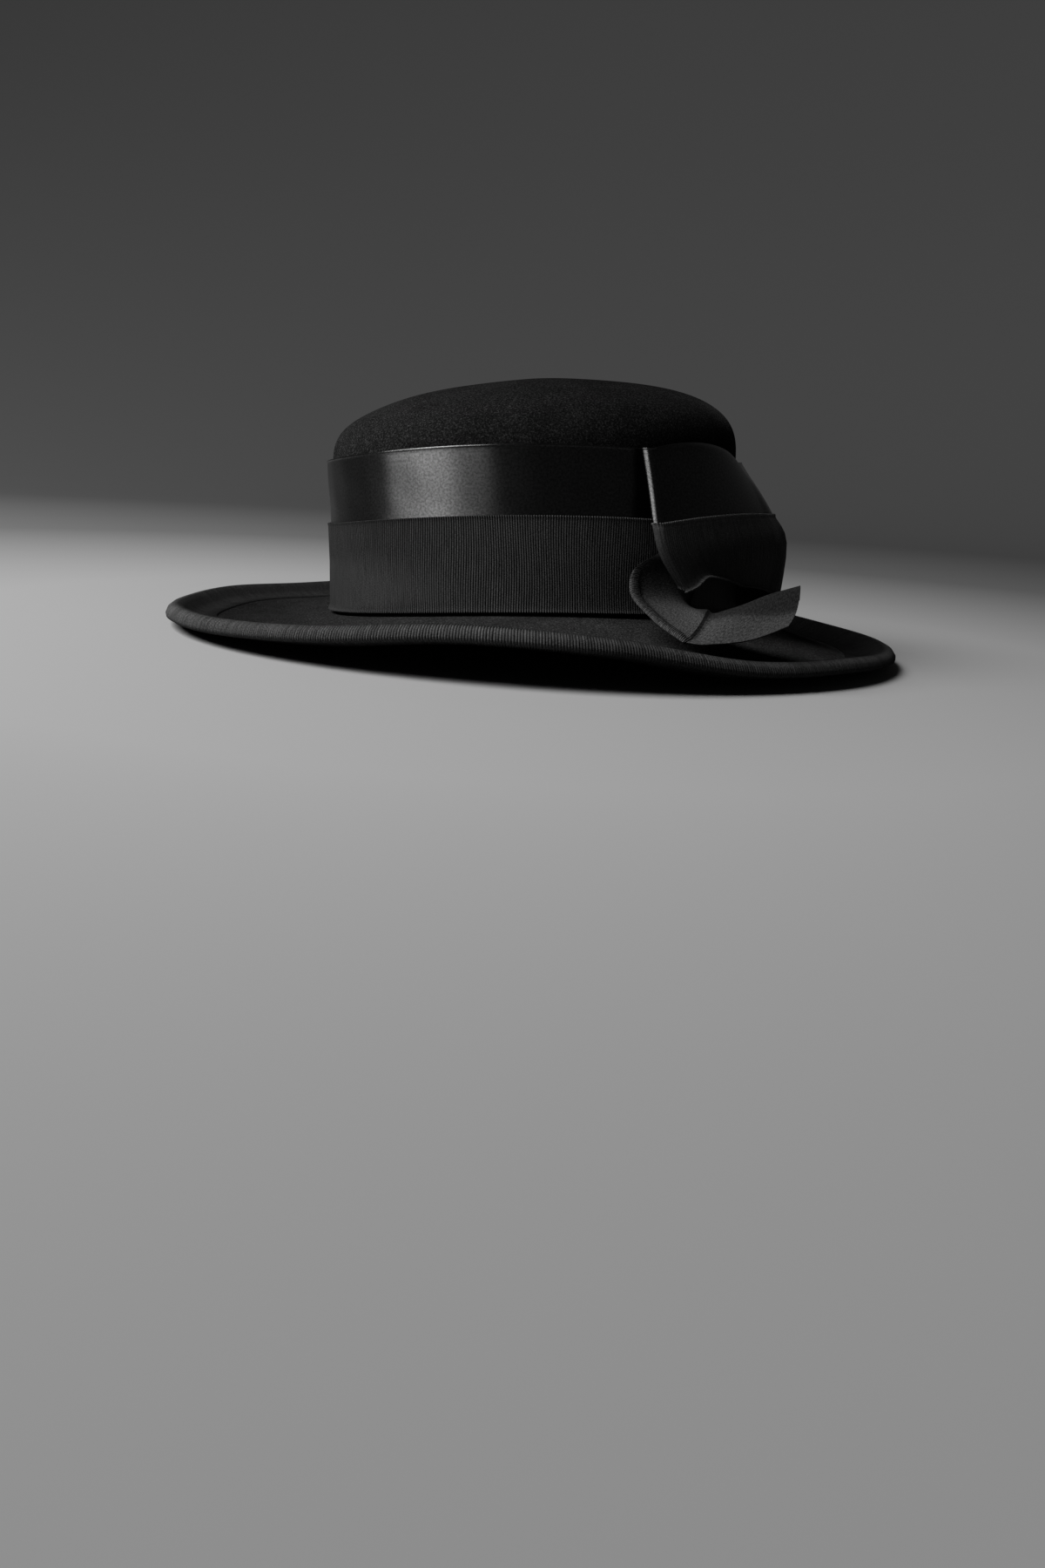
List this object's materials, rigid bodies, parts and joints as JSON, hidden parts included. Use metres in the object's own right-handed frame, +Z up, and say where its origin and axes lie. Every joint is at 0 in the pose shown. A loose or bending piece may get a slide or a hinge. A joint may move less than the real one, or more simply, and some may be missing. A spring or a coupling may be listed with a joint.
{
  "type": "boater hat",
  "caption": "Black felt boater with an oval, softly domed crown, an upturned bound brim that dips at the back, a satin and grosgrain band and a ribbon bow on its left side.",
  "frame": {"origin": "middle of the hat's box, on the surface that the brim rests on", "axes": "+Z up, -X towards the front of the hat, -Y towards the wearer's left side with the bow"},
  "size_m": [0.3618, 0.3166, 0.1261],
  "materials": {
    "felt": "brushed wool felt, matt with a soft nap",
    "satin": "smooth satin ribbon with a soft gloss",
    "grosgrain": "cross-ribbed grosgrain ribbon with a beaded selvedge"
  },
  "bodies": {
    "root": {"crown": "felt", "brim": "felt", "brim_binding": "grosgrain", "satin_band": "satin", "grosgrain_band": "grosgrain", "bow_loop_satin": "satin", "bow_loop_grosgrain": "grosgrain", "bow_tail": "grosgrain"}
  },
  "joints": []
}
